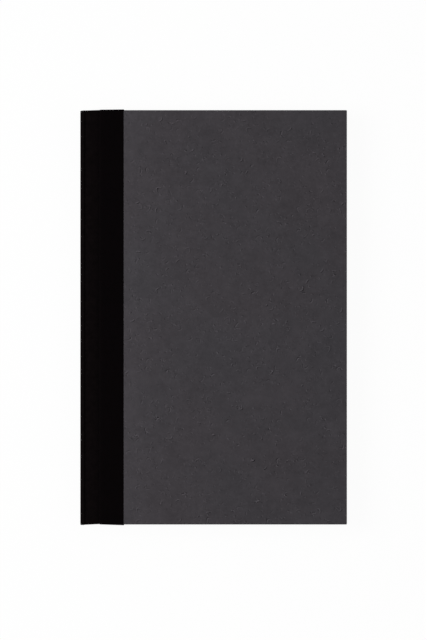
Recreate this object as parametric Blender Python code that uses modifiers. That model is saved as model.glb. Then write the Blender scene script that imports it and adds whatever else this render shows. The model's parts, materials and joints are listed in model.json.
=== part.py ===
"""Quarter-bound ledger book, closed and lying on its back cover, in metres with +Z up.

The head of the book is towards +Y, the fore edge towards +X and the spine towards -X.
"""

import math

import bmesh
import bpy
from mathutils import Matrix, Vector

# Text block
PAGE_WIDTH = 0.133
PAGE_HEIGHT = 0.210
SECTIONS = 8
SHEETS_PER_SECTION = 6
LEAF = 0.000095
LEAF_GAP = 0.000015
FOLD_GLUE = 0.0006
ENDPAPER = 0.00015

# Case
HEAD_SQUARE = 0.0037
FORE_SQUARE = 0.0043
BOARD = 0.0024
CLOTH = 0.00055
SIDE_PAPER = 0.00015
SPINE_INLAY = 0.0008
CLOTH_REACH = 0.0229
TURN_IN = 0.014
JOINT_WIDTH = 0.0080
RIDGE = 0.0009
RIDGE_RUN = 0.0012
EDGE_ROUND = 0.0005
GROOVE_ROUND = 0.0006
FOLD_ROUND = 0.0003

# Spine of the text block
MULL = 0.00015
MULL_REACH = 0.026
LINING = 0.00015
THREAD_DIAMETER = 0.0004
KETTLE_INSET = 0.014
BAND_DIAMETER = 0.0014
BAND_FLAP = 0.008

# Clearances
GLUE_LINE = 0.00006
LEAF_CLEARANCE = 0.00006
SHOULDER_CLEARANCE = 0.0003

# Layers of a cover, counted outwards from the inner face of its pastedown
UNDER_PASTEDOWN = ENDPAPER + GLUE_LINE
INNER_LAYER = max(SIDE_PAPER, MULL)
BOARD_INNER = UNDER_PASTEDOWN + INNER_LAYER + GLUE_LINE
BOARD_OUTER = BOARD_INNER + BOARD
COVER = BOARD_OUTER + GLUE_LINE + SIDE_PAPER
CLOTH_LIP = UNDER_PASTEDOWN + CLOTH
CLOTH_INNER = COVER - CLOTH
GROOVE_INNER = UNDER_PASTEDOWN + MULL + GLUE_LINE
GROOVE_OUTER = GROOVE_INNER + CLOTH

# Heights
SECTION = 2 * SHEETS_PER_SECTION * LEAF + (2 * SHEETS_PER_SECTION - 1) * LEAF_GAP
SECTION_PITCH = SECTION + LEAF_CLEARANCE
BACK_INNER = COVER
FIRST_SECTION = BACK_INNER + LEAF_CLEARANCE + ENDPAPER + LEAF_CLEARANCE
FRONT_FLYLEAF = FIRST_SECTION + SECTIONS * SECTION_PITCH
FRONT_INNER = FRONT_FLYLEAF + ENDPAPER + LEAF_CLEARANCE
SHOULDER = GROOVE_OUTER + SHOULDER_CLEARANCE
SPINE_LOW = BACK_INNER + SHOULDER
SPINE_HIGH = FRONT_INNER - SHOULDER

# Stations across the book, from the spine's outer face to the fore edge
SPINE_STACK = (
    CLOTH + GLUE_LINE + SPINE_INLAY + GLUE_LINE + CLOTH + GLUE_LINE
    + LINING + GLUE_LINE + MULL + GLUE_LINE + THREAD_DIAMETER + GLUE_LINE
)
BOOK_WIDTH = SPINE_STACK + PAGE_WIDTH + FORE_SQUARE
SPINE_FACE = -BOOK_WIDTH / 2
HINGE = SPINE_FACE + SPINE_STACK
BOARD_EDGE = HINGE + JOINT_WIDTH
CLOTH_WALL = BOARD_EDGE - GLUE_LINE - CLOTH
CLOTH_EDGE = SPINE_FACE + CLOTH_REACH
PAPER_EDGE = CLOTH_EDGE + GLUE_LINE
FORE_EDGE = BOOK_WIDTH / 2
BOARD_FORE = FORE_EDGE - SIDE_PAPER - GLUE_LINE
INLAY_FACE = SPINE_FACE + CLOTH + GLUE_LINE
LIP_FACE = INLAY_FACE + SPINE_INLAY + GLUE_LINE
LINING_FACE = LIP_FACE + CLOTH + GLUE_LINE
MULL_FACE = LINING_FACE + LINING + GLUE_LINE
THREAD_AXIS = HINGE - GLUE_LINE - THREAD_DIAMETER / 2

# Half heights along the spine
PAGE_HALF = PAGE_HEIGHT / 2
BOARD_HALF = PAGE_HALF + HEAD_SQUARE
PAPER_HALF = BOARD_HALF + GLUE_LINE + SIDE_PAPER
CLOTH_WALL_HALF = BOARD_HALF + GLUE_LINE
CLOTH_HALF = CLOTH_WALL_HALF + CLOTH
LIP_HALF = BOARD_HALF - TURN_IN

ARC_STEPS = 8
FOLD_STEPS = 3
FOLD_ANGLE = math.radians(30)
CUT_MARGIN = 0.001
WELD = GLUE_LINE / 50
FRONT, BACK = 1, -1
SIDE_NAME = {FRONT: "front", BACK: "back"}

# Finishes: colour and roughness
BOOK_CLOTH = ((0.0030, 0.0024, 0.0026), 0.85)
CHARCOAL_PAPER = ((0.047, 0.043, 0.048), 0.80)
GREYBOARD = ((0.30, 0.28, 0.25), 0.90)
LEDGER_PAPER = ((0.80, 0.77, 0.68), 0.85)
CREAM_ENDPAPER = ((0.82, 0.80, 0.74), 0.85)
COTTON_MULL = ((0.70, 0.67, 0.60), 0.95)
KRAFT_LINING = ((0.42, 0.30, 0.19), 0.90)
LINEN_THREAD = ((0.86, 0.84, 0.78), 0.70)
BLACK_BAND = ((0.012, 0.011, 0.012), 0.60)


def clear_scene():
    for obj in list(bpy.data.objects):
        bpy.data.objects.remove(obj, do_unlink=True)


def collection_named(name):
    collection = bpy.data.collections.new(name)
    bpy.context.scene.collection.children.link(collection)
    return collection


def move_to(obj, collection):
    for owner in list(obj.users_collection):
        owner.objects.unlink(obj)
    collection.objects.link(obj)


def finish(obj, look, parent=None):
    """Gives a piece its own material, files it with the parts and hangs it on its hinge."""
    colour, roughness = look
    material = bpy.data.materials.new(obj.name)
    material.use_nodes = True
    shader = material.node_tree.nodes["Principled BSDF"]
    shader.inputs["Base Color"].default_value = (*colour, 1.0)
    shader.inputs["Roughness"].default_value = roughness
    shader.inputs["Metallic"].default_value = 0.0
    obj.data.materials.clear()
    obj.data.materials.append(material)
    move_to(obj, PARTS)
    if parent:
        obj.parent = parent
        obj.matrix_parent_inverse = parent.matrix_world.inverted()
    return obj


def hinge_empty(name, height):
    """An empty on the line that a cover turns about."""
    empty = bpy.data.objects.new(name, None)
    empty.location = (HINGE, 0, height)
    empty.empty_display_size = JOINT_WIDTH
    PARTS.objects.link(empty)
    bpy.context.view_layer.update()
    return empty


def slab(name, low, high):
    """A flat sheet or board between two corners."""
    low, high = Vector(low), Vector(high)
    bpy.ops.mesh.primitive_cube_add(size=1, location=(low + high) / 2)
    obj = bpy.context.object
    obj.name = name
    obj.data.transform(Matrix.Diagonal((*(high - low), 1)))
    return obj


def outline_prism(name, points, low, high, turn):
    """A flat outline, turned into its plane and extruded from low to high along its normal."""
    curve = bpy.data.curves.new(name, "CURVE")
    curve.dimensions = "2D"
    curve.fill_mode = "BOTH"
    curve.extrude = (high - low) / 2
    spline = curve.splines.new("POLY")
    spline.points.add(len(points) - 1)
    for point, (u, v) in zip(spline.points, points):
        point.co = (u, v, 0, 1)
    spline.use_cyclic_u = True
    obj = bpy.data.objects.new(name, curve)
    obj.matrix_world = turn.to_4x4() @ Matrix.Translation((0, 0, (low + high) / 2))
    bpy.context.scene.collection.objects.link(obj)
    return obj


def along_y(name, points, half):
    """An outline in X and Z, extruded evenly to both sides of the middle."""
    return outline_prism(name, points, -half, half, Matrix.Rotation(math.pi / 2, 3, "X"))


def along_z(name, points, low, high):
    """An outline in X and Y, extruded upwards."""
    return outline_prism(name, points, low, high, Matrix.Identity(3))


def as_mesh(obj):
    """The same piece as a closed mesh, with the loose caps of a curve welded to its sides."""
    bpy.context.view_layer.update()
    evaluated = obj.evaluated_get(bpy.context.evaluated_depsgraph_get())
    mesh = bpy.data.meshes.new_from_object(evaluated)
    mesh.transform(obj.matrix_world)
    welded = bmesh.new()
    welded.from_mesh(mesh)
    bmesh.ops.remove_doubles(welded, verts=welded.verts, dist=WELD)
    bmesh.ops.recalc_face_normals(welded, faces=welded.faces)
    welded.to_mesh(mesh)
    welded.free()
    name = obj.name
    made = bpy.data.objects.new(name, mesh)
    bpy.data.objects.remove(obj, do_unlink=True)
    made.name = name
    bpy.context.scene.collection.objects.link(made)
    return made


def combine(body, others, operation):
    """Joins the other pieces to the body, or cuts them from it."""
    for other in others:
        other.hide_render = True
        other.display_type = "WIRE"
        move_to(other, CUTTERS)
        boolean = body.modifiers.new(other.name, "BOOLEAN")
        boolean.operation = operation
        boolean.solver = "EXACT"
        boolean.object = other
    return body


def round_folds(piece, beyond):
    """Rounds the sharp edges whose two ends lie further from the middle, along Y, than the given length."""
    work = bmesh.new()
    work.from_mesh(piece.data)
    folds = []
    for edge in work.edges:
        sharp = edge.is_manifold and edge.calc_face_angle() > FOLD_ANGLE
        if sharp and min(abs(vert.co.y) for vert in edge.verts) > beyond:
            folds.append(edge)
    bmesh.ops.bevel(
        work,
        geom=folds,
        offset=FOLD_ROUND,
        offset_type="OFFSET",
        segments=FOLD_STEPS,
        profile=0.5,
        affect="EDGES",
    )
    work.to_mesh(piece.data)
    work.free()
    return piece


def arc(centre, radii, start, end):
    """Points on a quarter of an ellipse, with the angles in degrees."""
    steps = [start + (end - start) * i / ARC_STEPS for i in range(ARC_STEPS + 1)]
    return [
        (
            centre[0] + radii[0] * math.cos(math.radians(angle)),
            centre[1] + radii[1] * math.sin(math.radians(angle)),
        )
        for angle in steps
    ]


def height(side, depth):
    """The level that lies this far outwards from a cover's inner face."""
    return FRONT_INNER + depth if side == FRONT else BACK_INNER - depth


def standing(side, points):
    """An outline given in depths, set at its levels on that side of the book."""
    return [(u, height(side, depth)) for u, depth in points]


def span(side, inner, outer):
    """The lower and the higher of two depths' levels."""
    return sorted((height(side, inner), height(side, outer)))


def board(side, hinge):
    """A greyboard, pressed thinner along the spine edge so that the thicker cloth lies flush there."""
    outer_press = CLOTH - SIDE_PAPER
    inner_press = CLOTH - INNER_LAYER
    profile = [
        (BOARD_EDGE, BOARD_INNER + inner_press),
        (PAPER_EDGE, BOARD_INNER + inner_press),
        (PAPER_EDGE, BOARD_INNER),
        (BOARD_FORE, BOARD_INNER),
        (BOARD_FORE, BOARD_OUTER),
        (PAPER_EDGE, BOARD_OUTER),
        (PAPER_EDGE, BOARD_OUTER - outer_press),
        (BOARD_EDGE, BOARD_OUTER - outer_press),
    ]
    piece = along_y(f"{SIDE_NAME[side]}_board", standing(side, profile), BOARD_HALF)
    finish(piece, GREYBOARD, hinge)


def side_paper(side, hinge):
    """The charcoal paper, folded over three edges of the board with mitred corners inside."""
    sheet = bmesh.new()
    size = Matrix.Diagonal((FORE_EDGE - PAPER_EDGE, 2 * PAPER_HALF, 1, 1))
    middle = Vector(((FORE_EDGE + PAPER_EDGE) / 2, 0, height(side, COVER)))
    bmesh.ops.create_grid(
        sheet, x_segments=1, y_segments=1, size=0.5, matrix=Matrix.Translation(middle) @ size
    )
    folded = [edge for edge in sheet.edges if max(v.co.x for v in edge.verts) > middle.x]
    walls = bmesh.ops.extrude_edge_only(sheet, edges=folded)["geom"]
    for vert in (item for item in walls if isinstance(item, bmesh.types.BMVert)):
        vert.co.z = height(side, UNDER_PASTEDOWN)
    hems = [item for item in walls if isinstance(item, bmesh.types.BMEdge)]
    lips = bmesh.ops.extrude_edge_only(sheet, edges=hems)["geom"]
    for vert in (item for item in lips if isinstance(item, bmesh.types.BMVert)):
        vert.co.y -= math.copysign(TURN_IN, vert.co.y)
        if vert.co.x > middle.x:
            vert.co.x -= TURN_IN
    bmesh.ops.recalc_face_normals(sheet, faces=sheet.faces)
    if max(sheet.faces, key=lambda face: face.calc_area()).normal.z * side < 0:
        bmesh.ops.reverse_faces(sheet, faces=sheet.faces)
    name = f"{SIDE_NAME[side]}_side_paper"
    mesh = bpy.data.meshes.new(name)
    sheet.to_mesh(mesh)
    sheet.free()
    piece = bpy.data.objects.new(name, mesh)
    bpy.context.scene.collection.objects.link(piece)
    round_folds(piece, 0)
    wall = piece.modifiers.new("paper", "SOLIDIFY")
    wall.thickness = SIDE_PAPER
    wall.offset = -1
    wall.use_even_offset = True
    finish(piece, CHARCOAL_PAPER, hinge)


def cover_cloth(side, hinge):
    """The book cloth on one cover: over the board, turned in at head and tail, pressed into the groove."""
    name = f"{SIDE_NAME[side]}_cloth"
    board_edge = arc((CLOTH_WALL + EDGE_ROUND, COVER - EDGE_ROUND), (EDGE_ROUND, EDGE_ROUND), 90, 180)
    groove_centre = (CLOTH_WALL - GROOVE_ROUND, GROOVE_OUTER + GROOVE_ROUND)
    wrapped = [
        (CLOTH_EDGE, COVER),
        *board_edge,
        *arc(groove_centre, (GROOVE_ROUND, GROOVE_ROUND), 0, -90),
        (HINGE, GROOVE_OUTER),
        (HINGE, UNDER_PASTEDOWN),
        (CLOTH_EDGE, UNDER_PASTEDOWN),
    ]
    cloth = as_mesh(along_y(name, standing(side, wrapped), CLOTH_HALF))
    round_folds(cloth, CLOTH_HALF - WELD)
    low, high = span(side, CLOTH_LIP, CLOTH_INNER)
    board_pocket = slab(
        f"{name}_board_pocket",
        (CLOTH_WALL + CLOTH, -CLOTH_WALL_HALF, low),
        (CLOTH_EDGE + CUT_MARGIN, CLOTH_WALL_HALF, high),
    )
    inside_pocket = (CLOTH_LIP + CLOTH_INNER) / 2
    between_hems = [
        (HINGE - CUT_MARGIN, -CUT_MARGIN),
        (CLOTH_EDGE + CUT_MARGIN, -CUT_MARGIN),
        (CLOTH_EDGE + CUT_MARGIN, inside_pocket),
        (BOARD_EDGE, inside_pocket),
        (BOARD_EDGE, GROOVE_INNER),
        (HINGE - CUT_MARGIN, GROOVE_INNER),
    ]
    bare_board = as_mesh(along_y(f"{name}_bare_board", standing(side, between_hems), LIP_HALF))
    finish(combine(cloth, [board_pocket, bare_board], "DIFFERENCE"), BOOK_CLOTH, hinge)


def pastedown(side, hinge):
    """The half of the endpaper that is pasted down inside the cover."""
    low, high = span(side, 0, ENDPAPER)
    far = HINGE + PAGE_WIDTH
    piece = slab(
        f"{SIDE_NAME[side]}_pastedown", (HINGE, -PAGE_HALF, low), (far, PAGE_HALF, high)
    )
    finish(piece, CREAM_ENDPAPER, hinge)


def mull_flange(side, hinge):
    """The part of the mull that is glued across the joint onto the inside of the board."""
    low, high = span(side, UNDER_PASTEDOWN, UNDER_PASTEDOWN + MULL)
    reach = LIP_HALF - GLUE_LINE
    piece = slab(
        f"{SIDE_NAME[side]}_mull_flange", (HINGE, -reach, low), (HINGE + MULL_REACH, reach, high)
    )
    finish(piece, COTTON_MULL, hinge)


def flyleaf(side, hinge):
    """The loose half of an endpaper."""
    low = FRONT_FLYLEAF if side == FRONT else BACK_INNER + LEAF_CLEARANCE
    piece = slab(
        f"{SIDE_NAME[side]}_flyleaf",
        (HINGE, -PAGE_HALF, low),
        (HINGE + PAGE_WIDTH, PAGE_HALF, low + ENDPAPER),
    )
    finish(piece, CREAM_ENDPAPER, hinge)


def section_outline(low):
    """Nested folded sheets seen from the head: a round fold, then the loose leaves like a comb."""
    radius = SECTION / 2
    fold = arc((HINGE + radius, low + radius), (radius, radius), 90, 270)
    points = list(fold)
    root = HINGE + radius + FOLD_GLUE
    leaves = 2 * SHEETS_PER_SECTION
    for leaf in range(leaves):
        bottom = low + leaf * (LEAF + LEAF_GAP)
        if leaf:
            points.append((root, bottom))
        points.append((HINGE + PAGE_WIDTH, bottom))
        points.append((HINGE + PAGE_WIDTH, bottom + LEAF))
        if leaf < leaves - 1:
            points.append((root, bottom + LEAF))
    return points


def section(number, hinge):
    """One sewn section. Section 1 lies on top, next to the front flyleaf."""
    low = FIRST_SECTION + (SECTIONS - number) * SECTION_PITCH
    name = f"section_{number}"
    block = bmesh.new()
    corners = [block.verts.new((x, -PAGE_HALF, z)) for x, z in section_outline(low)]
    tail = block.faces.new(corners)
    head = bmesh.ops.extrude_face_region(block, geom=[tail])["geom"]
    moved = [item for item in head if isinstance(item, bmesh.types.BMVert)]
    bmesh.ops.translate(block, verts=moved, vec=(0, PAGE_HEIGHT, 0))
    bmesh.ops.recalc_face_normals(block, faces=block.faces)
    mesh = bpy.data.meshes.new(name)
    block.to_mesh(mesh)
    block.free()
    piece = bpy.data.objects.new(name, mesh)
    bpy.context.scene.collection.objects.link(piece)
    finish(piece, LEDGER_PAPER, hinge)


def sewing_thread():
    """One thread that runs down the back of each section and steps to the next at a kettle stitch."""
    reach = PAGE_HALF - KETTLE_INSET
    pitch = (SPINE_HIGH - SPINE_LOW) / SECTIONS
    route = []
    for index in range(SECTIONS):
        level = SPINE_LOW + (index + 0.5) * pitch
        ends = (-reach, reach) if index % 2 == 0 else (reach, -reach)
        route += [(THREAD_AXIS, end, level) for end in ends]
    curve = bpy.data.curves.new("sewing_thread", "CURVE")
    curve.dimensions = "3D"
    curve.bevel_depth = THREAD_DIAMETER / 2
    curve.bevel_resolution = 2
    curve.use_fill_caps = True
    spline = curve.splines.new("POLY")
    spline.points.add(len(route) - 1)
    for point, place in zip(spline.points, route):
        point.co = (*place, 1)
    piece = bpy.data.objects.new("sewing_thread", curve)
    bpy.context.scene.collection.objects.link(piece)
    finish(piece, LINEN_THREAD)


def spine_strip(name, face, thickness, half, look):
    """A flat strip that runs down the spine."""
    piece = slab(name, (face, -half, SPINE_LOW), (face + thickness, half, SPINE_HIGH))
    finish(piece, look)


def spine_cloth():
    """The cloth over the spine inlay, turned in round its head and tail."""
    lip_back = LIP_FACE + CLOTH
    half_outline = [
        (SPINE_FACE + CLOTH, CLOTH_WALL_HALF),
        (LIP_FACE, CLOTH_WALL_HALF),
        (LIP_FACE, LIP_HALF),
        (lip_back, LIP_HALF),
        *arc((lip_back - EDGE_ROUND, CLOTH_HALF - EDGE_ROUND), (EDGE_ROUND, EDGE_ROUND), 0, 90),
        *arc((SPINE_FACE + EDGE_ROUND, CLOTH_HALF - EDGE_ROUND), (EDGE_ROUND, EDGE_ROUND), 90, 180),
    ]
    outline = half_outline + [(x, -y) for x, y in reversed(half_outline)]
    finish(along_z("spine_cloth", outline, SPINE_LOW, SPINE_HIGH), BOOK_CLOTH)


def joint_cloth(side):
    """The shoulder of cloth that rises from the joint groove to a ridge and rounds down to the spine."""
    start = HINGE - GLUE_LINE
    foot = (start - RIDGE_RUN, GLUE_LINE - SHOULDER)
    outer = (foot[0] - SPINE_FACE, GROOVE_OUTER + RIDGE - foot[1])
    inner = (outer[0] - CLOTH, outer[1] - CLOTH)
    rise = []
    for step in range(ARC_STEPS):
        share = step / ARC_STEPS
        lift = RIDGE * (1 - math.cos(math.pi * share)) / 2
        rise.append((start - share * RIDGE_RUN, lift))
    outside = [(x, GROOVE_OUTER + lift) for x, lift in rise] + arc(foot, outer, 90, 180)
    inside = arc(foot, inner, 180, 90) + [(x, GROOVE_INNER + lift) for x, lift in reversed(rise)]
    band = standing(side, outside + inside)
    finish(along_y(f"{SIDE_NAME[side]}_joint_cloth", band, CLOTH_HALF), BOOK_CLOTH)


def end_band(name, end):
    """A cord bead at the head or tail of the folds, with the flap that is glued to the spine."""
    radius = BAND_DIAMETER / 2
    seat = PAGE_HALF + LEAF_CLEARANCE
    flap_low, flap_high = HINGE - GLUE_LINE - THREAD_DIAMETER, HINGE - GLUE_LINE
    bpy.ops.mesh.primitive_cylinder_add(
        vertices=2 * ARC_STEPS,
        radius=radius,
        depth=SPINE_HIGH - SPINE_LOW,
        location=(HINGE, end * (seat + radius), (SPINE_LOW + SPINE_HIGH) / 2),
    )
    bead = bpy.context.object
    bead.name = name
    near, far = sorted((end * (PAGE_HALF - BAND_FLAP), end * (seat + radius)))
    flap = slab(f"{name}_flap", (flap_low, near, SPINE_LOW), (flap_high, far, SPINE_HIGH))
    finish(combine(bead, [flap], "UNION"), BLACK_BAND)


clear_scene()
PARTS = collection_named("ledger_book")
CUTTERS = collection_named("ledger_book_cutters")

HINGES = {
    FRONT: hinge_empty("front_hinge", FRONT_INNER),
    BACK: hinge_empty("back_hinge", BACK_INNER),
}

for number in range(1, SECTIONS + 1):
    section(number, HINGES[FRONT])
for side in (FRONT, BACK):
    flyleaf(side, HINGES[FRONT])

sewing_thread()
end_band("head_band", 1)
end_band("tail_band", -1)
spine_strip("spine_mull", MULL_FACE, MULL, LIP_HALF - GLUE_LINE, COTTON_MULL)
spine_strip("spine_lining", LINING_FACE, LINING, PAGE_HALF, KRAFT_LINING)
spine_strip("spine_inlay", INLAY_FACE, SPINE_INLAY, BOARD_HALF, GREYBOARD)
spine_cloth()

for side in (FRONT, BACK):
    board(side, HINGES[side])
    cover_cloth(side, HINGES[side])
    side_paper(side, HINGES[side])
    mull_flange(side, HINGES[side])
    pastedown(side, HINGES[side])
    joint_cloth(side)
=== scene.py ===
import json
import math
import random

import bpy
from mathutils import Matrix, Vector


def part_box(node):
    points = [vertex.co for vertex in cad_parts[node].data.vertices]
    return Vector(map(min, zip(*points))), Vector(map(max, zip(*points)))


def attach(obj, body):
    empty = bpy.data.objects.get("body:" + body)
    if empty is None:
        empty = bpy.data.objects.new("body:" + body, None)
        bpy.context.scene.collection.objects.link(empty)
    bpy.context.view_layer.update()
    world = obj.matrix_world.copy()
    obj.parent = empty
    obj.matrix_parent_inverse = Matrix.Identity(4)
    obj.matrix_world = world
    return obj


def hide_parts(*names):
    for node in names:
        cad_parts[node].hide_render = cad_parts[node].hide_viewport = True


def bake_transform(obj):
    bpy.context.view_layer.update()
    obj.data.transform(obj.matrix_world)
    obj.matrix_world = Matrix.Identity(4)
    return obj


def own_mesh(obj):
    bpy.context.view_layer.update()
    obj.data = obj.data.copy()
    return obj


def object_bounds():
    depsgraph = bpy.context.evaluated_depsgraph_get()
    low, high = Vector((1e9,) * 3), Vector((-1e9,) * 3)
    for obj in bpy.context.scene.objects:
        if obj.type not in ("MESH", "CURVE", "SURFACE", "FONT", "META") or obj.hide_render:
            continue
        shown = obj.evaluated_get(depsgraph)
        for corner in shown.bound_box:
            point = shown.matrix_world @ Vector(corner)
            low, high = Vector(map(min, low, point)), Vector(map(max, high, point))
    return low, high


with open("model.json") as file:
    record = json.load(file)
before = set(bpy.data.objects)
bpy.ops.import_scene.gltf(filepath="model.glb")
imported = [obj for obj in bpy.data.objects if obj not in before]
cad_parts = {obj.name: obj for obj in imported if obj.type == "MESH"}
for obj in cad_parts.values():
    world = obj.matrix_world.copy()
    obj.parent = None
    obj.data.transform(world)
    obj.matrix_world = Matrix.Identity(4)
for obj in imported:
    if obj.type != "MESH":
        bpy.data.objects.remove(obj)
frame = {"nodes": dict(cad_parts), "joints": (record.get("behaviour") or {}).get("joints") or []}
cad_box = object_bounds()

# Sewn sections: eight sections of six sheets of cream ledger paper, each folded once and nested.
# They are sewn through the fold, trimmed flush, and ruled in blue and red as account pages are.
MM = 0.001
SECTIONS = 8
SHEETS = 6
LEAF_THICKNESS = 0.095 * MM
LEAF_PITCH = 0.110 * MM
TRIM_ERROR = 0.05 * MM
TIGHTEST_BEND = 1.0 * MM
GUTTER_ARCH = 0.2
BAKE_MARGIN = 0.002
GUTTER_STEPS = 28
LEAF_STEPS = 6
FOLD_STEPS = 6
FACING_DOWN = -0.5
SMOOTH_FOLDS = math.radians(50)
joints = {joint["name"]: joint for joint in frame["joints"]}
hinge_x, _, front_level = joints["front_cover_open"]["pos_m"]
trim = random.Random(7)


def add_primitive(operator, **settings):
    """Adds a primitive while nothing else is selected, so that later steps act on it alone."""
    bpy.ops.object.select_all(action="DESELECT")
    operator(**settings)
    return bpy.context.object


def apply_modifiers(piece):
    bpy.ops.object.select_all(action="DESELECT")
    piece.select_set(True)
    bpy.context.view_layer.objects.active = piece
    for modifier in list(piece.modifiers):
        bpy.ops.object.modifier_apply(modifier=modifier.name)


def lofted_sheet(name, rows, along):
    """A grid through rows of points. Its UV map is in metres, along the row and up the book."""
    columns = len(rows[0])
    piece = add_primitive(
        bpy.ops.mesh.primitive_grid_add,
        x_subdivisions=columns - 1,
        y_subdivisions=len(rows) - 1,
    )
    piece.name = name
    mesh = piece.data
    for vertex in mesh.vertices:
        row, column = divmod(vertex.index, columns)
        vertex.co = rows[row][column]
    uv = mesh.uv_layers.active.data
    for loop in mesh.loops:
        column = loop.vertex_index % columns
        uv[loop.index].uv = (along[column], mesh.vertices[loop.vertex_index].co.y)
    return piece


def thickened(piece, thickness, offset, even=True):
    """Gives an open sheet its thickness: offset -1 goes inwards from its faces, 0 to both sides."""
    solid = piece.modifiers.new("thickness", "SOLIDIFY")
    solid.thickness = thickness
    solid.offset = offset
    solid.use_even_offset = even
    apply_modifiers(piece)
    return piece


def gutter_bend(level):
    """How much of a leaf bends when it turns: more for one that lies deeper under the hinge line."""
    return TIGHTEST_BEND + GUTTER_ARCH * (front_level - level)


def leaf_stations(reach, bend):
    """Distances from the fold, close together where the leaf bends at the gutter."""
    bending = [bend * step / GUTTER_STEPS for step in range(GUTTER_STEPS)]
    return bending + [bend + (reach - bend) * step / LEAF_STEPS for step in range(LEAF_STEPS + 1)]


def folded_sheet(name, fold_x, middle, radius, reach, half):
    """One sheet folded round its section's middle line, with its fold towards the spine."""
    flat = leaf_stations(reach, gutter_bend(middle))
    upper = [(fold_x + x, middle + radius, x) for x in reversed(flat)]
    bend = []
    for step in range(1, FOLD_STEPS):
        angle = math.pi / 2 + math.pi * step / FOLD_STEPS
        bend.append((fold_x + radius * math.cos(angle), middle + radius * math.sin(angle), 0))
    lower = [(fold_x + x, middle - radius, x) for x in flat]
    route = upper + bend + lower
    rows = [[(x, y, z) for x, z, _ in route] for y in (-half, half)]
    return thickened(lofted_sheet(name, rows, [along for *_, along in route]), LEAF_THICKNESS, 0)


def turn_left_pages(leaves, page):
    """Measures the undersides from the fore edge, so that left and right pages are ruled alike."""
    uv = leaves.data.uv_layers.active.data
    for face in leaves.data.polygons:
        if face.normal.z < FACING_DOWN:
            for loop in face.loop_indices:
                uv[loop].uv.x = page - uv[loop].uv.x


def bake_alike(leaves):
    """Adds a UV map, OFBake, that lays every page on the same square, so that all share one baked
    image, as all are printed alike.
    """
    places = [corner.uv.copy() for corner in leaves.data.uv_layers.active.data]
    low = [min(place[axis] for place in places) for axis in (0, 1)]
    high = [max(place[axis] for place in places) for axis in (0, 1)]
    shared = leaves.data.uv_layers.new(name="OFBake", do_init=False).data
    for corner, place in zip(shared, places):
        for axis in (0, 1):
            share = (place[axis] - low[axis]) / (high[axis] - low[axis])
            corner.uv[axis] = BAKE_MARGIN + (1 - 2 * BAKE_MARGIN) * share


def joined(name, parts):
    bpy.ops.object.select_all(action="DESELECT")
    for part in parts:
        part.select_set(True)
    bpy.context.view_layer.objects.active = parts[0]
    bpy.ops.object.join()
    parts[0].name = name
    parts[0].data.name = name
    return parts[0]


def shader_of(name):
    """A new material, its node tree and its Principled shader."""
    material = bpy.data.materials.new(name)
    material.use_nodes = True
    return material, material.node_tree, material.node_tree.nodes["Principled BSDF"]


def add_node(tree, kind, inputs=(), **settings):
    """Adds a shader node, feeds its inputs from sockets or with values, and returns its outputs."""
    node = tree.nodes.new(f"ShaderNode{kind}")
    for name, value in settings.items():
        setattr(node, name, value)
    for name, value in dict(inputs).items():
        if isinstance(value, bpy.types.NodeSocket):
            tree.links.new(value, node.inputs[name])
        else:
            node.inputs[name].default_value = value
    return node.outputs


def calc(tree, operation, *values, clamp=False):
    return add_node(tree, "Math", enumerate(values), operation=operation, use_clamp=clamp)[0]


def mixed(tree, share, first, second, blend="MIX"):
    parts = {"Factor": share, "A": first, "B": second}
    return add_node(tree, "Mix", parts, data_type="RGBA", blend_type=blend)["Result"]


def noise(tree, vector, scale, detail=2.0, roughness=0.5):
    kind = {"Vector": vector, "Scale": scale, "Detail": detail, "Roughness": roughness}
    return add_node(tree, "TexNoise", kind)["Fac"]


def axes_of(tree, vector):
    outputs = add_node(tree, "SeparateXYZ", {"Vector": vector})
    return outputs["X"], outputs["Y"]


def surface(tree, shader, colour, relief, roughness, specular, depth, strength):
    """Gives a shader its colour, and a relief that shows in its bump and polishes its crowns."""
    tree.links.new(colour, shader.inputs["Base Color"])
    polished = calc(tree, "MULTIPLY_ADD", relief, -CROWN_POLISH, roughness)
    tree.links.new(polished, shader.inputs["Roughness"])
    shader.inputs["Specular IOR Level"].default_value = specular
    bump = add_node(tree, "Bump", {"Distance": depth, "Strength": strength, "Height": relief})
    tree.links.new(bump["Normal"], shader.inputs["Normal"])


def printed_line(tree, place, at):
    """1 on a ruled line at that place, fading to 0 over its width on both sides."""
    away = calc(tree, "ABSOLUTE", calc(tree, "SUBTRACT", place, at))
    return calc(tree, "SUBTRACT", 1.0, calc(tree, "DIVIDE", away, RULE_WIDTH), clamp=True)


def ruling(tree, uv):
    """Where the pages are printed: the blue lines and columns, and the red head line and columns."""
    across, up = axes_of(tree, uv)
    body = calc(tree, "COMPARE", up, (RULE_TOP + RULE_FOOT) / 2, (RULE_TOP - RULE_FOOT) / 2)
    beat = calc(tree, "PINGPONG", calc(tree, "SUBTRACT", up, RULE_TOP), RULE_PITCH / 2)
    blue = calc(tree, "MULTIPLY", printed_line(tree, beat, 0.0), body)
    for column in BLUE_COLUMNS:
        line = calc(tree, "MULTIPLY", printed_line(tree, across, column), body)
        blue = calc(tree, "MAXIMUM", blue, line)
    red = printed_line(tree, up, HEAD_RULE)
    for column in RED_COLUMNS:
        red = calc(tree, "MAXIMUM", red, printed_line(tree, across, column))
    return blue, red


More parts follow.
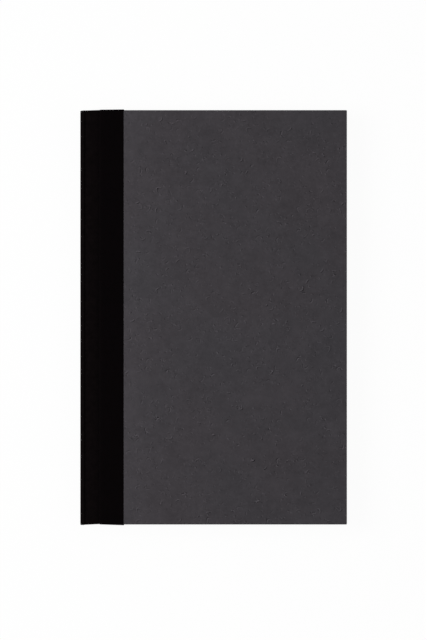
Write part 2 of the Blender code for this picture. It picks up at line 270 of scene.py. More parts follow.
def ruled_paper(name, ruled):
    """Cream ledger paper with a soft tooth, ruled for accounts or left plain."""
    material, tree, shader = shader_of(name)
    uv = add_node(tree, "UVMap")["UV"]
    tooth = noise(tree, uv, scale=900, detail=3)
    paper = mixed(tree, noise(tree, uv, scale=60), DIM_CREAM, BRIGHT_CREAM)
    paper = mixed(tree, calc(tree, "MULTIPLY", tooth, TOOTH_SHARE), paper, TOOTH_CREAM)
    if ruled:
        for line, ink in zip(ruling(tree, uv), (BLUE_INK, RED_INK)):
            paper = mixed(tree, calc(tree, "MULTIPLY", line, INK_SHARE), paper, ink)
    surface(
        tree, shader, paper, tooth, roughness=0.91, specular=0.2, depth=0.03 * MM, strength=0.4
    )
    return material


CROWN_POLISH = 0.12
DIM_CREAM = (0.74, 0.70, 0.59, 1)
BRIGHT_CREAM = (0.82, 0.79, 0.69, 1)
TOOTH_CREAM = (0.66, 0.62, 0.52, 1)
TOOTH_SHARE = 0.25
BLUE_INK = (0.25, 0.42, 0.55, 1)
RED_INK = (0.52, 0.13, 0.13, 1)
INK_SHARE = 0.75
RULE_TOP = 84 * MM
RULE_FOOT = -99 * MM
RULE_PITCH = 7 * MM
RULE_WIDTH = 0.22 * MM
HEAD_RULE = RULE_TOP + RULE_PITCH / 5
RED_COLUMNS = (16 * MM, 30 * MM, 88 * MM, 109 * MM)
BLUE_COLUMNS = (95 * MM, 102 * MM, 116 * MM, 123 * MM)
ledger_paper = ruled_paper("ledger_paper", ruled=True)

for number in range(1, SECTIONS + 1):
    node = f"section_{number}"
    low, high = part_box(node)
    middle = (low.z + high.z) / 2
    outermost = (high.z - low.z - LEAF_THICKNESS) / 2
    fold_x = low.x + (high.z - low.z) / 2
    sheets = []
    for sheet in range(SHEETS):
        reach = high.x - fold_x - trim.uniform(0, TRIM_ERROR)
        half = high.y - trim.uniform(0, TRIM_ERROR)
        radius = outermost - sheet * LEAF_PITCH
        sheets.append(folded_sheet(f"{node}_sheet", fold_x, middle, radius, reach, half))
    leaves = joined(f"leaves_{number}", sheets)
    turn_left_pages(leaves, high.x - fold_x)
    bake_alike(leaves)
    bpy.ops.object.shade_smooth_by_angle(angle=SMOOTH_FOLDS)
    leaves.data.materials.append(ledger_paper)
    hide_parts(node)
    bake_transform(leaves)

# Endpapers: each is one plain sheet of heavier paper, folded at the joint. One half is the flyleaf,
# tipped to the first or last section, and the other half is pasted down inside the cover.
ENDPAPER_THICKNESS = 0.15 * MM
PASTE_RELIEF = 0.12 * MM
TURN_IN = 14 * MM
TURN_IN_SLOPE = 1.2 * MM
RELIEF_COLUMNS = 64
RELIEF_ROWS = 96
COVERS = {"front": 1, "back": -1}
endpaper = ruled_paper("endpaper", ruled=False)

for side in COVERS:
    node = f"{side}_flyleaf"
    low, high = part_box(node)
    level = (low.z + high.z) / 2
    stations = leaf_stations(high.x - low.x, gutter_bend(level))
    route = [hinge_x + x for x in stations]
    rows = [[(x, y, level) for x in route] for y in (low.y, high.y)]
    flyleaf = lofted_sheet(f"{side}_flyleaf_sheet", rows, stations)
    thickened(flyleaf, ENDPAPER_THICKNESS, 0)
    bake_alike(flyleaf)
    flyleaf.data.materials.append(endpaper)
    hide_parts(node)
    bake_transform(flyleaf)


def face_level(box, outwards):
    """The level of a box's top face where outwards is 1, and of its bottom face where it is -1."""
    low, high = box
    return high.z if outwards > 0 else low.z


def over_turn_ins(x, y, board):
    """How far the pastedown sinks between the turned-in edges under it, from 0 to 1."""
    low, high = board
    inside = min(high.x - TURN_IN - x, high.y - TURN_IN - abs(y), x - low.x)
    return max(0.0, min(1.0, inside / TURN_IN_SLOPE))


for side, outwards in COVERS.items():
    node = f"{side}_pastedown"
    low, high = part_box(node)
    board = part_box(f"{side}_board")
    face = face_level((low, high), -outwards)
    rows = []
    for row in range(RELIEF_ROWS + 1):
        y = low.y + (high.y - low.y) * row / RELIEF_ROWS
        points = []
        for column in range(RELIEF_COLUMNS + 1):
            x = low.x + (high.x - low.x) * column / RELIEF_COLUMNS
            points.append((x, y, face + outwards * PASTE_RELIEF * over_turn_ins(x, y, board)))
        rows.append(points)
    pastedown = lofted_sheet(f"{side}_pastedown_sheet", rows, [x - hinge_x for x, _, _ in rows[0]])
    if outwards > 0:
        pastedown.data.flip_normals()
    thickened(pastedown, ENDPAPER_THICKNESS, -1)
    pastedown.data.materials.append(endpaper)
    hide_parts(node)
    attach(pastedown, f"{side}_cover")

# Spine of the text block: the linen thread that links the folds, the cotton mull glued over it
# and onto both boards, and a strip of kraft paper as lining. The case hides them all.
MULL_PITCH = 0.9 * MM
MULL_GAP = (0.42, 0.39, 0.33, 1)
MULL_YARN = (0.72, 0.69, 0.61, 1)


def threads(tree, vector, pitch):
    """Crossing yarns: high on the crowns of warp and weft, low in between."""
    waves = []
    for place in axes_of(tree, vector):
        waves.append(calc(tree, "SINE", calc(tree, "MULTIPLY", place, math.pi / pitch)))
    over = calc(tree, "GREATER_THAN", calc(tree, "MULTIPLY", *waves), 0.0)
    under = calc(tree, "SUBTRACT", 1.0, over)
    warp, weft = (calc(tree, "ABSOLUTE", wave) for wave in waves)
    return calc(
        tree, "ADD", calc(tree, "MULTIPLY", over, warp), calc(tree, "MULTIPLY", under, weft)
    )


def mull_cloth():
    """Open-weave starched cotton."""
    material, tree, shader = shader_of("mull_cotton")
    weave = threads(tree, add_node(tree, "TexCoord")["Object"], MULL_PITCH)
    colour = mixed(tree, weave, MULL_GAP, MULL_YARN)
    surface(
        tree, shader, colour, weave, roughness=1.0, specular=0.1, depth=0.08 * MM, strength=0.6
    )
    return material


def plain_stock(name, dark, pale, grain, roughness):
    """Unprinted stock that only shows where the book is opened: flecked from dark to pale."""
    material, tree, shader = shader_of(name)
    place = add_node(tree, "TexCoord")["Object"]
    fleck = noise(tree, place, scale=grain, detail=4, roughness=0.65)
    colour = mixed(tree, fleck, (*dark, 1), (*pale, 1))
    surface(tree, shader, colour, fleck, roughness, specular=0.15, depth=0.05 * MM, strength=0.5)
    return material


def dress(node, material):
    """Gives a CAD node that keeps its shape a better finish."""
    slots = frame["nodes"][node].data.materials
    slots.clear()
    slots.append(material)


mull_finish = mull_cloth()
for node in ("spine_mull", "front_mull_flange", "back_mull_flange"):
    dress(node, mull_finish)
kraft = plain_stock(
    "kraft_stock", dark=(0.34, 0.23, 0.14), pale=(0.47, 0.34, 0.22), grain=700, roughness=0.96
)
dress("spine_lining", kraft)
linen = plain_stock(
    "linen_thread", dark=(0.74, 0.71, 0.63), pale=(0.88, 0.86, 0.80), grain=4000, roughness=0.76
)
dress("sewing_thread", linen)

# Boards: dense greyboard for the two covers and a thinner strip of it as the spine inlay.
# They give the case its stiffness, and lie wholly inside the cloth and the papers.
greyboard = plain_stock(
    "greyboard", dark=(0.24, 0.22, 0.20), pale=(0.36, 0.34, 0.30), grain=900, roughness=0.96
)
for node in ("front_board", "back_board", "spine_inlay"):
    dress(node, greyboard)

# Head and tail bands: a cord core wound with black cotton, with a cloth flap glued to the folds.
# The bead sits on the ends of the folds and fills the gap behind the spine.
BAND_WRAP = 0.35 * MM
WRAP_RINGS = 4
WRAP_VALLEY = 0.15
BAND_SIDES = 20
BAND_FLAP = 0.3 * MM
MERGE_GAP = 0.001 * MM
BAND_DARK = (0.006, 0.005, 0.006, 1)
BAND_PALE = (0.022, 0.020, 0.022, 1)


def wound_band(name, node, end):
    """A bead with one ridge for each turn of its winding, and its glued flap."""
    low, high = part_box(node)
    radius = (high.x - low.x) / 2
    length = high.z - low.z
    rings = WRAP_RINGS * round(length / BAND_WRAP)
    middle_x = (low.x + high.x) / 2
    middle_y = high.y - radius if end > 0 else low.y + radius
    rows = []
    for ring in range(rings + 1):
        swell = radius * (1 - WRAP_VALLEY * (1 - abs(math.sin(math.pi * ring / WRAP_RINGS))))
        level = low.z + length * ring / rings
        circle = []
        for side in range(BAND_SIDES + 1):
            angle = 2 * math.pi * side / BAND_SIDES
            x = middle_x + swell * math.cos(angle)
            circle.append((x, middle_y + swell * math.sin(angle), level))
        rows.append(circle)
    bead = lofted_sheet(name, rows, [0.0] * (BAND_SIDES + 1))
    bpy.ops.object.mode_set(mode="EDIT")
    bpy.ops.mesh.select_all(action="SELECT")
    bpy.ops.mesh.remove_doubles(threshold=MERGE_GAP)
    bpy.ops.mesh.select_all(action="DESELECT")
    bpy.ops.mesh.select_non_manifold()
    bpy.ops.mesh.edge_face_add()
    bpy.ops.mesh.select_all(action="SELECT")
    bpy.ops.mesh.normals_make_consistent(inside=False)
    bpy.ops.object.mode_set(mode="OBJECT")
    bpy.ops.object.shade_smooth_by_angle(angle=SMOOTH_FOLDS)
    flap = add_primitive(bpy.ops.mesh.primitive_cube_add, size=1)
    flap_x = hinge_x - BAND_FLAP
    flap_foot = low.y if end > 0 else high.y
    for vertex in flap.data.vertices:
        vertex.co.x = flap_x + math.copysign(BAND_FLAP / 3, vertex.co.x)
        vertex.co.y = middle_y if vertex.co.y * end > 0 else flap_foot
        vertex.co.z = high.z if vertex.co.z > 0 else low.z
    return joined(name, [bead, flap])


def band_cotton():
    """Black cotton thread, its strands just paler than the gaps between them."""
    material, tree, shader = shader_of("band_cotton")
    strand = noise(tree, add_node(tree, "TexCoord")["Object"], scale=5000)
    colour = mixed(tree, strand, BAND_DARK, BAND_PALE)
    surface(
        tree, shader, colour, strand, roughness=0.66, specular=0.25, depth=0.03 * MM, strength=0.5
    )
    return material


band_finish = band_cotton()
for name, node, end in (("head_band_bead", "head_band", 1), ("tail_band_bead", "tail_band", -1)):
    band = wound_band(name, node, end)
    band.data.materials.append(band_finish)
    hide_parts(node)
    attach(band, "spine")

# Side papers: charcoal cover paper with short fibres in it, glued over each board and folded
# round its head, tail and fore edge. The corners are square, and mitred where they are turned in.
SIDE_PAPER_THICKNESS = 0.15 * MM
PAPER_EDGE_ROUND = 0.45 * MM
PAPER_ROUND_STEPS = 5
PRESSED_EDGE = 0.9 * MM
PRESSED_DROP = 0.07 * MM
SMOOTH_COVERING = math.radians(40)


def select_edges(mesh, test):
    """Selects in object mode only those edges of a mesh for which the test is true."""
    for items in (mesh.vertices, mesh.edges, mesh.polygons):
        items.foreach_set("select", [False] * len(items))
    for edge in mesh.edges:
        edge.select = test(edge)


def unfold(mesh, low, high, face):
    """A UV map in metres of the paper laid flat, so that its fibres run on over the folds."""
    uv = mesh.uv_layers.active.data
    for polygon in mesh.polygons:
        normal = polygon.normal
        for index in polygon.loop_indices:
            x, y, z = mesh.vertices[mesh.loops[index].vertex_index].co
            down = abs(z - face)
            if abs(normal.y) > max(abs(normal.x), abs(normal.z)):
                y += math.copysign(down, y)
            elif abs(normal.x) > abs(normal.z):
                x += down
            elif down > (high.z - low.z) / 2:
                x, y = 2 * high.x - x, y + math.copysign(2 * (high.y - abs(y)), y)
            uv[index].uv = (x, y)


def side_paper(side, outwards):
    """A plane folded over three edges by extruding them, with rounded folds and its own thickness."""
    low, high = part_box(f"{side}_side_paper")
    face = face_level((low, high), outwards)
    depth = high.z - low.z
    middle = (low.x + high.x) / 2
    paper = add_primitive(bpy.ops.mesh.primitive_plane_add, size=1, location=(middle, 0, face))
    paper.name = f"{side}_paper"
    paper.scale = (high.x - low.x, high.y - low.y, 1)
    bpy.ops.object.transform_apply(location=True, rotation=False, scale=True)
    mesh = paper.data

    def on_folds(edge):
        return max(mesh.vertices[index].co.x for index in edge.vertices) > middle

    bpy.context.tool_settings.mesh_select_mode = (False, True, False)
    select_edges(mesh, on_folds)
    bpy.ops.object.mode_set(mode="EDIT")
    bpy.ops.mesh.extrude_edges_move(TRANSFORM_OT_translate={"value": (0, 0, -outwards * depth)})
    bpy.ops.mesh.extrude_edges_move(TRANSFORM_OT_translate={"value": (0, 0, 0)})
    bpy.ops.object.mode_set(mode="OBJECT")
    for vertex in mesh.vertices:
        if vertex.select:
            vertex.co.y -= math.copysign(TURN_IN, vertex.co.y)
            if vertex.co.x > middle:
                vertex.co.x -= TURN_IN
    bpy.ops.object.mode_set(mode="EDIT")
    bpy.ops.mesh.select_all(action="SELECT")
    bpy.ops.mesh.normals_make_consistent(inside=False)
    bpy.ops.object.mode_set(mode="OBJECT")
    folds = paper.modifiers.new("folds", "BEVEL")
    folds.width = PAPER_EDGE_ROUND
    folds.segments = PAPER_ROUND_STEPS
    folds.limit_method = "ANGLE"
    apply_modifiers(paper)
    largest = max(mesh.polygons, key=lambda polygon: polygon.area)
    if largest.normal.z * outwards < 0:
        mesh.flip_normals()
    bpy.ops.object.mode_set(mode="EDIT")
    bpy.ops.mesh.select_all(action="SELECT")
    bpy.ops.mesh.bisect(plane_co=(low.x + PRESSED_EDGE, 0, 0), plane_no=(1, 0, 0))
    bpy.ops.object.mode_set(mode="OBJECT")
    for vertex in mesh.vertices:
        if vertex.co.x < low.x + PRESSED_EDGE / 2 and abs(vertex.co.z - face) < PRESSED_DROP:
            vertex.co.z -= outwards * PRESSED_DROP
    unfold(mesh, low, high, face)
    thickened(paper, SIDE_PAPER_THICKNESS, -1)
    bpy.ops.object.shade_smooth_by_angle(angle=SMOOTH_COVERING)
    return paper


def fibre_marks():
    """Curved fibres and the dents of lost ones: one to a cell, at its own angle and length."""
    group = bpy.data.node_groups.new("fibre_marks", "ShaderNodeTree")
    group.interface.new_socket("Vector", in_out="INPUT", socket_type="NodeSocketVector")
    for name in ("Cells", "Length", "Width"):
        group.interface.new_socket(name, in_out="INPUT", socket_type="NodeSocketFloat")
    group.interface.new_socket("Height", in_out="OUTPUT", socket_type="NodeSocketFloat")
    given = group.nodes.new("NodeGroupInput").outputs
    size = {"Vector": given["Vector"], "Scale": given["Cells"]}
    cell = add_node(group, "TexVoronoi", size, voronoi_dimensions="2D")
    ends = {0: given["Vector"], 1: cell["Position"]}
    local = add_node(group, "VectorMath", ends, operation="SUBTRACT")[0]
    chance = add_node(group, "SeparateColor", {"Color": cell["Color"]})
    angle = calc(group, "MULTIPLY", chance["Red"], 2 * math.pi)
    turn = {"Vector": local, "Angle": angle}
    turned = add_node(group, "VectorRotate", turn, rotation_type="Z_AXIS")[0]
    along, across = axes_of(group, turned)
    reach = calc(group, "MULTIPLY", given["Length"], chance["Green"])
    bow = calc(group, "DIVIDE", calc(group, "MULTIPLY", along, along), given["Length"])
    bend = calc(group, "MULTIPLY_ADD", chance["Green"], 2 * FIBRE_BOW, -FIBRE_BOW)
    aside = calc(group, "SUBTRACT", across, calc(group, "MULTIPLY", bow, bend))
    beyond = calc(group, "SUBTRACT", calc(group, "ABSOLUTE", along), reach)
    beyond = calc(group, "MAXIMUM", beyond, 0.0)
    squares = calc(
        group, "ADD", calc(group, "POWER", beyond, 2.0), calc(group, "MULTIPLY", aside, aside)
    )
    away = calc(group, "DIVIDE", calc(group, "SQRT", squares), given["Width"])
    mark = calc(group, "SUBTRACT", 1.0, away, clamp=True)
    height = calc(group, "MULTIPLY_ADD", chance["Blue"], 2 * TALLEST_FIBRE, -TALLEST_FIBRE)
    made = group.nodes.new("NodeGroupOutput")
    group.links.new(calc(group, "MULTIPLY", mark, height), made.inputs["Height"])
    return group


def fibres_with_painted_flanks(tree, group, place, fibre, light):
    """Fibres with a painted highlight on the flank towards the light and painted shade on the other,
    from -1 to 1.
    """
    flanks = []
    for side in (0.5, -0.5):
        shift = {0: light, 1: (side, side, side), 2: place}
        moved = add_node(tree, "VectorMath", shift, operation="MULTIPLY_ADD")[0]
        marks = add_node(tree, "Group", {"Vector": moved, **fibre}, node_tree=group)
        flanks.append(marks["Height"])
    return calc(tree, "SUBTRACT", *flanks)


def uneven(tree, place, **kind):
    """Noise that swings about 0."""
    return calc(tree, "SUBTRACT", noise(tree, place, **kind), 0.5)


def charcoal_paper():
    """Faintly mottled charcoal paper, with crowds of fibres in painted light and shade, painted paler
    beside the cloth.
    """
    material, tree, shader = shader_of("charcoal_paper")
    place = add_node(tree, "UVMap")["UV"]
    group = fibre_marks()
    # The fibres' flanks are painted: a painted highlight on the side towards the light and painted
    # shade on the other. The same relief also drives the bump.
    long_fibres = fibres_with_painted_flanks(tree, group, place, LONG_FIBRE, LONG_FIBRE_PAINTED_LIGHT)
    specks = fibres_with_painted_flanks(tree, group, place, SPECK, SPECK_PAINTED_LIGHT)
    crowd = noise(tree, place, scale=110, detail=1)
    crowd = calc(tree, "MULTIPLY_ADD", crowd, CROWD_CONTRAST, -CROWD_THRESHOLD)
    crowd = calc(tree, "MAXIMUM", crowd, 0.0)
    relief = calc(tree, "ADD", long_fibres, calc(tree, "MULTIPLY", specks, SPECK_SHARE))
    relief = calc(tree, "MULTIPLY", relief, crowd)
    # Painted shade on the dark flanks is kept weaker than the painted highlight on the lit ones.
    painted_dark_flanks = calc(tree, "MULTIPLY", relief, PAINTED_SHADE_SHARE)
    painted_fibre_shading = calc(tree, "MAXIMUM", relief, painted_dark_flanks)
    grain = uneven(tree, place, scale=620, roughness=0.65)
    grit = calc(tree, "MULTIPLY", grain, calc(tree, "ABSOLUTE", grain))
    among_fibres = calc(tree, "MULTIPLY_ADD", crowd, CROWDED_GRIT, LONE_GRIT)
    grit = calc(tree, "MULTIPLY", grit, among_fibres)
    mottle = uneven(tree, place, scale=200, roughness=0.7)
    clouds = uneven(tree, place, scale=60, detail=3)
    # Painted light: the paper is painted paler towards the cloth, on the side the key light comes
    # from.
    from_cloth = calc(tree, "SUBTRACT", axes_of(tree, place)[0], paper_edge)
    from_cloth = calc(tree, "DIVIDE", from_cloth, PAINTED_LIGHT_REACH)
    painted_light_near_cloth = calc(tree, "POWER", calc(tree, "SUBTRACT", 1.0, from_cloth, clamp=True), 2.0)
    shade = 1.0
    for part, amount in (
        (painted_fibre_shading, PAINTED_FLANK_AMOUNT),
        (grit, GRIT_SHADE),
        (mottle, MOTTLE_SHADE),
        (clouds, CLOUD_SHADE),
        (painted_light_near_cloth, CLOTH_SIDE_PAINTED_LIGHT),
    ):
        shade = calc(tree, "MULTIPLY_ADD", part, amount, shade)
    level = add_node(tree, "CombineColor", enumerate([shade] * 3))[0]
    tint = mixed(tree, noise(tree, place, scale=22, detail=1), WARM_CHARCOAL, COOL_CHARCOAL)
    colour = mixed(tree, 1.0, tint, level, blend="MULTIPLY")
    tooth = calc(tree, "ADD", relief, mottle)
    surface(
        tree, shader, colour, tooth, roughness=0.75, specular=0.12, depth=0.05 * MM, strength=0.4
    )
    return material


LONG_FIBRE = {"Cells": 190, "Length": 1.5 * MM, "Width": 0.38 * MM}
# Offsets that put the painted highlight and the painted shade on the fibres' flanks.
LONG_FIBRE_PAINTED_LIGHT = (0.42 * MM, -0.36 * MM, 0)
SPECK = {"Cells": 300, "Length": 0.5 * MM, "Width": 0.40 * MM}
SPECK_PAINTED_LIGHT = (-0.50 * MM, -0.30 * MM, 0)
SPECK_SHARE = 0.8
# The share of painted shade kept on the fibres' dark flanks.
PAINTED_SHADE_SHARE = 0.75
FIBRE_BOW = 1.5
TALLEST_FIBRE = 1.3
CROWD_CONTRAST = 5.0
CROWD_THRESHOLD = 1.6
CROWDED_GRIT = 0.6
LONE_GRIT = 0.4
# How strongly the fibres' painted highlight and shade tone the paper.
PAINTED_FLANK_AMOUNT = 0.51
GRIT_SHADE = 3.8
MOTTLE_SHADE = 0.43
CLOUD_SHADE = 0.36
# How strongly the painted light beside the cloth pales the paper.
CLOTH_SIDE_PAINTED_LIGHT = 0.11
WARM_CHARCOAL = (0.0444, 0.0384, 0.0431, 1)
COOL_CHARCOAL = (0.0396, 0.0379, 0.0428, 1)
# How far the painted light reaches from the spine side, on the paper and on the cloth.
PAINTED_LIGHT_REACH = 30 * MM
paper_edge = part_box("front_side_paper")[0].x
charcoal = charcoal_paper()
for side, outwards in COVERS.items():
    paper = side_paper(side, outwards)
    paper.data.materials.append(charcoal)
    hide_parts(f"{side}_side_paper")
    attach(paper, f"{side}_cover")

# Book cloth: one strip of black cotton cloth over the spine and onto both boards, turned in at head
# and tail and pressed into the joint grooves. It bends at the shoulders, so it is built in five
# pieces that meet there: the flat of the spine, two shoulders and the cloth on each cover.
CLOTH_THICKNESS = 0.35 * MM
CLOTH_ROUND = 0.45 * MM
CLOTH_ROUND_STEPS = 4
CLOTH_ROWS = 24
CORNER_STEPS = 6
HEAD_SLOPE = 0.26 * MM
HEAD_HOLLOW = 0.30 * MM
HOLLOW_REACH = 7 * MM
TAIL_DIP = 0.42 * MM
DIP_MIDDLE = 10.5 * MM
DIP_REACH = 12 * MM
cloth_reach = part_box("front_cloth")[1].x - cad_box[0].x


def filleted(corners):
    """A path through corners, each an (x, z, radius), with an arc of that radius at inner ones."""
    path = [corners[0][:2]]
    for before, corner, after in zip(corners, corners[1:], corners[2:]):
        point = Vector(corner[:2])
        back = (Vector(before[:2]) - point).normalized()
        on = (Vector(after[:2]) - point).normalized()
        half_angle = back.angle(on) / 2
        centre = point + (back + on).normalized() * corner[2] / math.sin(half_angle)
        first = point + back * corner[2] / math.tan(half_angle) - centre
        last = point + on * corner[2] / math.tan(half_angle) - centre
        for step in range(CORNER_STEPS + 1):
            spoke = first.normalized().slerp(last.normalized(), step / CORNER_STEPS)
            path.append(tuple(centre + spoke * corner[2]))
    path.append(corners[-1][:2])
    return path


def edge_sink(x):
    """How far the cloth's edges have sunk there: the head towards the spine, the tail in the joint."""
    run = x - cad_box[0].x
    slope = HEAD_SLOPE * max(0.0, 1 - run / cloth_reach)
    hollow = HEAD_HOLLOW * max(0.0, 1 - run / HOLLOW_REACH) ** 1.5
    away = min(1.0, abs(run - DIP_MIDDLE) / DIP_REACH)
    return slope + hollow, TAIL_DIP * math.cos(math.pi / 2 * away) ** 2


def running_length(path):
    lengths = [0.0]
    for first, second in zip(path, path[1:]):
        lengths.append(lengths[-1] + math.dist(first, second))
    return lengths


def round_the_edge(outer, inner, half):
    """Points from the turned-in lip, round the edge of the cover, to the outer face beside it."""
    across = Vector(inner) - Vector(outer)
    depth = across.length
    bend = min(CLOTH_ROUND, depth / 2)
    angles = [math.pi / 2 * step / CLOTH_ROUND_STEPS for step in range(CLOTH_ROUND_STEPS, -1, -1)]
    stations = [(TURN_IN, depth), (bend, depth)]
    for angle in angles[1:]:
        inset = depth - bend * (1 - math.sin(angle))
        stations.append((bend * (1 - math.cos(angle)), inset))
    for angle in angles:
        stations.append((bend * (1 - math.sin(angle)), bend * (1 - math.cos(angle))))
    points = []
    for short, inset in stations:
        place = Vector(outer) + across * inset / depth
        points.append((place.x, half - short, place.y))
    return points


def turned_in(name, outer, inner, half, start):
    """Cloth along an outer path, wrapped round its head and tail and laid back along an inner path."""
    columns = [round_the_edge(first, last, half) for first, last in zip(outer, inner)]
    sinks = [edge_sink(x) for x, _ in outer]
    head, tail = [], []
    for points in zip(*columns):
        head.append([Vector((x, y - sink, z)) for (x, y, z), (sink, _) in zip(points, sinks)])
        tail.append([Vector((x, sink - y, z)) for (x, y, z), (_, sink) in zip(points, sinks)])
    rows = list(tail)
    for row in range(1, CLOTH_ROWS):
        share = row / CLOTH_ROWS
        rows.append([first.lerp(last, share) for first, last in zip(tail[-1], head[-1])])
    rows += reversed(head)
    cloth = lofted_sheet(name, rows, [start + length for length in running_length(outer)])
    face = cloth.data.polygons[len(cloth.data.polygons) // 2]
    column = face.vertices[0] % len(outer)
    inwards = Vector(inner[column]) - Vector(outer[column])
    if face.normal.x * inwards.x + face.normal.z * inwards.y > 0:
        cloth.data.flip_normals()
    thickened(cloth, CLOTH_THICKNESS, -1, even=False)
    bpy.ops.object.shade_smooth_by_angle(angle=SMOOTH_COVERING)
    return cloth


def book_cloth():
    """Black cotton book cloth, nearly matt, in a fine plain weave, with painted light paling it
    towards the spine.
    """
    material, tree, shader = shader_of("black_book_cloth")
    uv = add_node(tree, "UVMap")["UV"]
    weave = threads(tree, uv, WEAVE_PITCH)
    lint = calc(tree, "MULTIPLY", weave, noise(tree, uv, scale=300, detail=3))
    # Painted light: the yarn is painted paler towards the spine, on the side the key light comes from.
    from_spine = calc(tree, "ABSOLUTE", axes_of(tree, uv)[0])
    yarn = mixed(tree, calc(tree, "DIVIDE", from_spine, PAINTED_LIGHT_REACH), PAINTED_LIT_YARN, YARN_FAR_FROM_SPINE)
    colour = mixed(tree, lint, CLOTH_GAP, yarn)
    surface(
        tree, shader, colour, weave, roughness=0.96, specular=0.015, depth=0.06 * MM, strength=0.6
    )
    return material


WEAVE_PITCH = 0.38 * MM
CLOTH_GAP = (0.0013, 0.0009, 0.0010, 1)
# The yarn with painted light at the spine, and the cloth's own yarn further off.
PAINTED_LIT_YARN = (0.0170, 0.0125, 0.0126, 1)
YARN_FAR_FROM_SPINE = (0.0026, 0.0014, 0.0019, 1)
cloth_finish = book_cloth()
spine_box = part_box("spine_cloth")
spine_low, spine_high = spine_box
spine_face = [(spine_low.x, spine_low.z), (spine_low.x, spine_high.z)]
spine_back = [(spine_high.x, spine_low.z), (spine_high.x, spine_high.z)]
spine = turned_in("spine_cloth_flat", spine_face, spine_back, spine_high.y, spine_low.z)
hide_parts("spine_cloth")
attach(spine, "spine")
cloth_pieces = [spine]

RIDGE_ROUND = 1.5 * MM
RIDGE_FALL = 0.4 * MM
FALL_START = 0.95 * MM
FALL_END = 0.45 * MM
LINING_ROUND = 0.25 * MM
LINING_FALL = 0.1 * MM
LINING_FALL_START = 0.6 * MM
LINING_FALL_END = 0.3 * MM
GROOVE_ROUND = 0.7 * MM
GROOVE_LIP = 0.76 * MM
BOARD_ROUND = 0.6 * MM
WALL_GAP = 0.61 * MM
WALL_FAN = 0.08
for side, outwards in COVERS.items():
    joint_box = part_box(f"{side}_joint_cloth")
    joint_low, joint_high = joint_box
    cover_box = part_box(f"{side}_cloth")
    cover_high = cover_box[1]
    ridge = face_level(joint_box, outwards)
    foot = face_level(spine_box, outwards)
    outer = face_level(cover_box, outwards)
    inner = face_level(cover_box, -outwards)
    groove = inner + outwards * GROOVE_LIP
    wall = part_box(f"{side}_board")[0].x - WALL_GAP
    shoulder_face = filleted(
        [
            (joint_low.x, foot, 0),
            (joint_low.x, ridge, RIDGE_ROUND),
            (hinge_x - FALL_START, ridge, RIDGE_FALL),
            (hinge_x - FALL_END, groove, RIDGE_FALL),
            (hinge_x, groove, 0),
        ]
    )
    shoulder_back = filleted(
        [
            (spine_high.x, foot, 0),
            (spine_high.x, groove, LINING_ROUND),
            (hinge_x - LINING_FALL_START, groove, LINING_FALL),
            (hinge_x - LINING_FALL_END, inner, LINING_FALL),
            (hinge_x, inner, 0),
        ]
    )
    start = outwards * foot
    shoulder = turned_in(
        f"{side}_shoulder_cloth", shoulder_face, shoulder_back, joint_high.y, start
    )
    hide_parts(f"{side}_joint_cloth")
    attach(shoulder, "spine")
    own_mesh(shoulder)
    cover_face = filleted(
        [
            (hinge_x, groove, 0),
            (wall, groove, GROOVE_ROUND),
            (wall, outer, BOARD_ROUND),
            (cover_high.x, outer, 0),
        ]
    )
    cover_back = [(x + outwards * WALL_FAN * (z - groove), inner) for x, z in cover_face]
    start += running_length(shoulder_face)[-1]
    cover = turned_in(f"{side}_cover_cloth", cover_face, cover_back, cover_high.y, start)
    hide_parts(f"{side}_cloth")
    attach(cover, f"{side}_cover")
    cloth_pieces += [shoulder, cover]
for piece in cloth_pieces:
    piece.data.materials.append(cloth_finish)

# Stage: a plain white table top under soft studio light, seen from straight above.
# The camera's rays see the table near white, and it keeps a faint shadow of the book.
FLOOR_SIZE = 6.0
FLOOR_WHITE = (0.92, 0.92, 0.92, 1)
FLOOR_GLOW = 0.95
SKY_LIGHT = 0.33
CAMERA_HEIGHT = 1.2
FRAME_HEIGHT = 336.3 * MM
SENSOR = 36.0
NEAREST = 0.01
BOOK_RISE = 1.4 * MM


def seen_directly(tree):
    """1 for rays from the camera, in a mirror or through glass, and 0 for light on the book."""
    path = add_node(tree, "LightPath")
    seen = calc(tree, "MAXIMUM", path["Is Camera Ray"], path["Is Glossy Ray"])
    return calc(tree, "MAXIMUM", seen, path["Is Transmission Ray"])


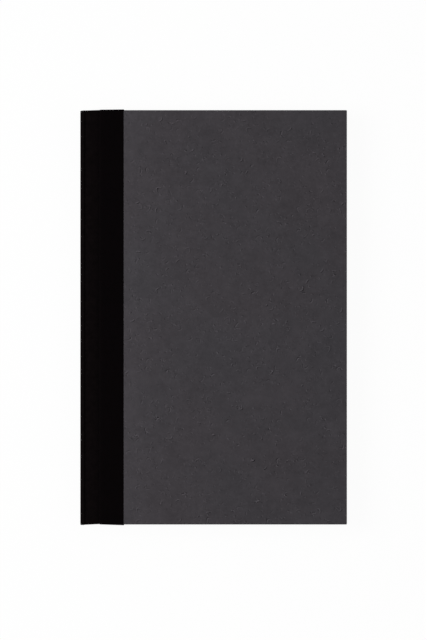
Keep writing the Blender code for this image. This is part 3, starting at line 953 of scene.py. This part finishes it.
def white_table():
    """Matt white paint that the camera sees as nearly white, however it is lit."""
    material, tree, shader = shader_of("white_table")
    shader.inputs["Base Color"].default_value = FLOOR_WHITE
    shader.inputs["Roughness"].default_value = 0.9
    shader.inputs["Specular IOR Level"].default_value = 0.0
    glow = add_node(tree, "Emission", {"Strength": 1.0})[0]
    share = calc(tree, "MULTIPLY", seen_directly(tree), FLOOR_GLOW)
    parts = {"Fac": share, 1: shader.outputs[0], 2: glow}
    shown = add_node(tree, "MixShader", parts)[0]
    tree.links.new(shown, tree.nodes["Material Output"].inputs["Surface"])
    return material


floor = add_primitive(bpy.ops.mesh.primitive_plane_add, size=FLOOR_SIZE, location=(0, 0, 0))
floor.name = "floor"
floor.data.materials.append(white_table())

world = bpy.data.worlds.new("studio")
bpy.context.scene.world = world
world.use_nodes = True
tree = world.node_tree
sky = tree.nodes["Background"].inputs
sky["Color"].default_value = (1, 1, 1, 1)
brightness = calc(tree, "MULTIPLY_ADD", seen_directly(tree), 1 - SKY_LIGHT, SKY_LIGHT)
tree.links.new(brightness, sky["Strength"])


def softbox(name, place, size, watts):
    """A square studio light, aimed at the book."""
    light = bpy.data.lights.new(name, "AREA")
    light.shape = "SQUARE"
    light.size = size
    light.energy = watts
    lamp = bpy.data.objects.new(name, light)
    bpy.context.scene.collection.objects.link(lamp)
    lamp.location = place
    lamp.rotation_euler = (-Vector(place)).to_track_quat("-Z", "Y").to_euler()


softbox("key_softbox", place=(-0.70, 0.10, 0.84), size=0.6, watts=8.4)
softbox("fill_softbox", place=(0.9, -0.3, 1.3), size=1.0, watts=3.2)

lens = bpy.data.cameras.new("camera")
lens.sensor_width = SENSOR
lens.lens = SENSOR * CAMERA_HEIGHT / FRAME_HEIGHT
lens.clip_start = NEAREST
camera = bpy.data.objects.new("camera", lens)
bpy.context.scene.collection.objects.link(camera)
camera.location = (0, -BOOK_RISE, cad_box[1].z + CAMERA_HEIGHT)
bpy.context.scene.camera = camera
bpy.context.scene.view_settings.view_transform = "Standard"
